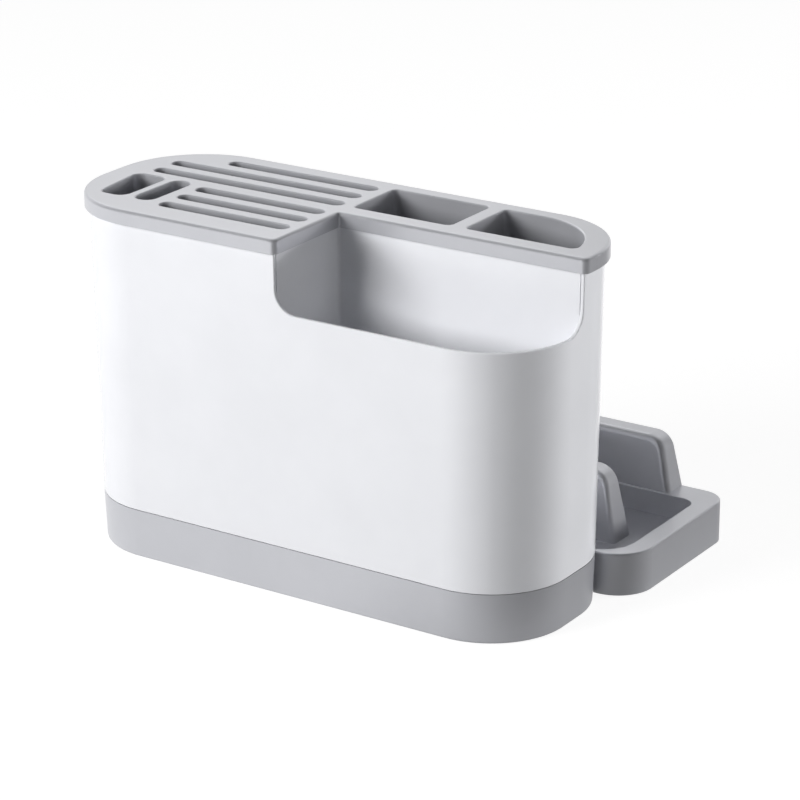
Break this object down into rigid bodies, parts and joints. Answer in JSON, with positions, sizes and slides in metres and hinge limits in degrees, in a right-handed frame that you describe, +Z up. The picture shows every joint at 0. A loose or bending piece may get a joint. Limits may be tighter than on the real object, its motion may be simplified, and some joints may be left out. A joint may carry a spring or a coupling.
{
  "type": "knife and utensil holder",
  "caption": "Upright countertop holder with knife slots, scissor opening, cutlery pockets, an open utensil bay, a drip tray and a rear rack for boards and lids.",
  "frame": {"origin": "on the surface that the holder stands on, under the middle of the footprint of holder and rack together", "axes": "+Z up, +X along the holder towards the open utensil bay's end, +Y from the holder to the rear rack"},
  "size_m": [0.324, 0.2138, 0.206],
  "materials": {
    "white_plastic": "glossy moulded white plastic",
    "grey_plastic": "satin moulded light grey plastic",
    "foot_rubber": "matt grey rubber"
  },
  "bodies": {
    "base": {"drip_tray": "grey_plastic", "drip_tray_feet": "foot_rubber"},
    "shell": {"body_shell": "white_plastic", "bay_partition": "white_plastic"},
    "cover": {"cover": "grey_plastic", "blade_guide": "grey_plastic"},
    "rack": {"rear_rack": "grey_plastic", "rear_rack_feet": "foot_rubber"}
  },
  "joints": [
    {"name": "shell_lift", "type": "slide", "parent": "base", "child": "shell", "axis": [0, 0, 1], "range_m": [0, 0.06]},
    {"name": "cover_lift", "type": "slide", "parent": "shell", "child": "cover", "axis": [0, 0, 1], "range_m": [0, 0.1]},
    {"name": "rack_slide", "type": "slide", "parent": "base", "child": "rack", "axis": [0, 1, 0], "range_m": [0, 0.06]}
  ]
}
